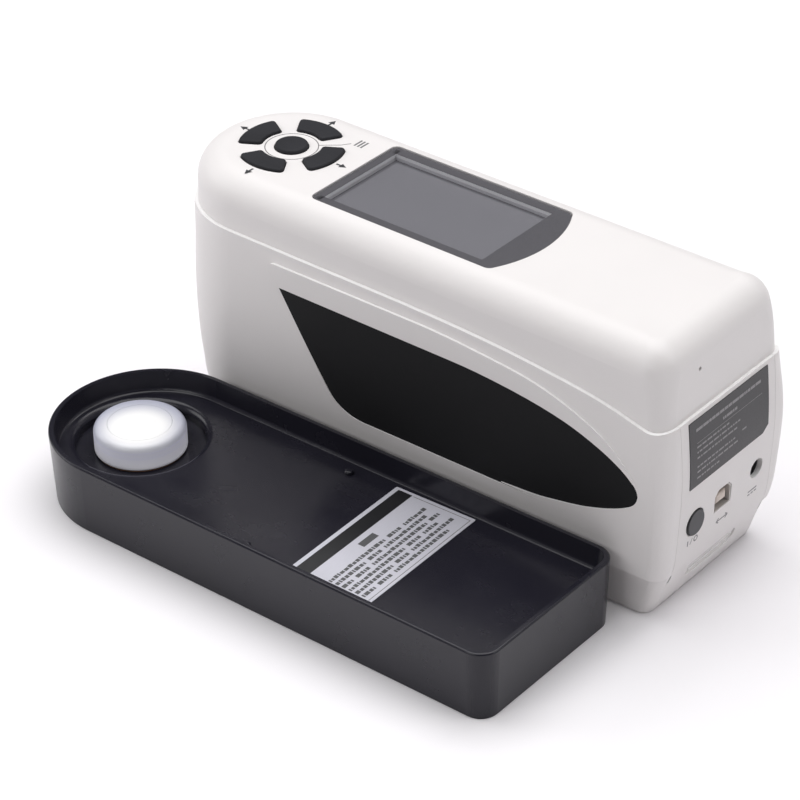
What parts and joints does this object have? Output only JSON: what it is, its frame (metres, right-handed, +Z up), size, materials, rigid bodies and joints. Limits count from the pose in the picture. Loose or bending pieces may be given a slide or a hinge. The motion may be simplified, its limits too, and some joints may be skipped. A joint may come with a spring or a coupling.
{
  "type": "portable colorimeter",
  "caption": "Hand-held colour-measuring instrument with keypad, display and side grips, standing beside its open calibration tray with a white standard.",
  "frame": {"origin": "centre of the instrument's flat base, on the table", "axes": "+X along the instrument towards the connector end, +Y away from the tray, +Z up"},
  "size_m": [0.2093, 0.1353, 0.0985],
  "materials": {
    "shell_white": "fine satin moulded plastic, warm white",
    "panel_white": "fine satin moulded plastic, warm white",
    "grip_rubber": "fine matt",
    "key_rubber": "matt silicone",
    "tray_black": "satin moulded plastic",
    "lens_clear": "hard-coated clear window, dark printed border",
    "display_dark": "polarised display face",
    "frame_dark": "moulded",
    "gasket_grey": "moulded",
    "plate_dark": "printed polycarbonate film",
    "label_silver": "silvered film label",
    "tile_opal": "translucent opal",
    "tile_white": "smooth matt white",
    "pad_tan": "adhesive foam",
    "switch_black": "moulded",
    "nickel_shell": "plated",
    "tongue_cream": "moulded insulator",
    "brass_pin": "turned",
    "screw_steel": "zinc plated",
    "board_green": "solder mask over glass laminate",
    "chip_black": "moulded epoxy",
    "dome_steel": "snap domes",
    "sphere_white": "diffuse white coating",
    "tube_black": "black anodised",
    "lens_glass": "polished",
    "lamp_clear": "moulded emitter",
    "cell_sleeve": "shrink sleeve",
    "cradle_black": "moulded",
    "ring_black": "moulded, fine matt",
    "base_grey": "fine satin moulded plastic"
  },
  "bodies": {
    "instrument": {"upper_shell": "shell_white", "lower_shell": "shell_white", "rear_panel": "panel_white", "nameplate": "plate_dark", "base_plate": "base_grey", "base_screws": "screw_steel", "aperture_ring": "ring_black", "grip_near": "grip_rubber", "grip_far": "grip_rubber", "display_lens": "lens_clear", "display_panel": "display_dark", "display_frame": "frame_dark", "display_gasket": "gasket_grey", "keypad_board": "board_green", "dome_contacts": "dome_steel", "keypad_screws": "screw_steel", "main_board": "board_green", "board_chips": "chip_black", "board_screws": "screw_steel", "port_board": "board_green", "usb_shell": "nickel_shell", "usb_tongue": "tongue_cream", "dc_jack": "switch_black", "dc_pin": "brass_pin", "switch_body": "switch_black", "battery_cells": "cell_sleeve", "battery_cradle": "cradle_black", "sphere_lower": "sphere_white", "sphere_upper": "sphere_white", "viewing_tube": "tube_black", "collecting_lens": "lens_glass", "lamp_board": "board_green", "lamps": "lamp_clear", "sensor_board": "board_green", "optics_bracket": "cradle_black"},
    "up_key": {"key_up": "key_rubber"},
    "down_key": {"key_down": "key_rubber"},
    "left_key": {"key_left": "key_rubber"},
    "right_key": {"key_right": "key_rubber"},
    "centre_key": {"key_centre": "key_rubber"},
    "power_button": {"switch_button": "switch_black"},
    "tray": {"calibration_tray": "tray_black", "tile_pad": "pad_tan", "tile_body": "tile_opal", "white_tile": "tile_white", "tray_label": "label_silver", "tray_studs": "tray_black"}
  },
  "joints": [
    {"name": "up_press", "type": "slide", "parent": "instrument", "child": "up_key", "axis": [-0.015, 0, -0.9999], "range_m": [0, 0.0008], "stiffness_N_per_m": 900},
    {"name": "down_press", "type": "slide", "parent": "instrument", "child": "down_key", "axis": [-0.015, 0, -0.9999], "range_m": [0, 0.0008], "stiffness_N_per_m": 900},
    {"name": "left_press", "type": "slide", "parent": "instrument", "child": "left_key", "axis": [-0.015, 0, -0.9999], "range_m": [0, 0.0008], "stiffness_N_per_m": 900},
    {"name": "right_press", "type": "slide", "parent": "instrument", "child": "right_key", "axis": [-0.015, 0, -0.9999], "range_m": [0, 0.0008], "stiffness_N_per_m": 900},
    {"name": "centre_press", "type": "slide", "parent": "instrument", "child": "centre_key", "axis": [-0.015, 0, -0.9999], "range_m": [0, 0.0008], "stiffness_N_per_m": 900},
    {"name": "power_press", "type": "slide", "parent": "instrument", "child": "power_button", "axis": [-1, 0, 0], "range_m": [0, 0.0015], "stiffness_N_per_m": 600},
    {"name": "tray_slide", "type": "slide", "parent": "instrument", "child": "tray", "axis": [0, -1, 0], "range_m": [0, 0.08]}
  ]
}
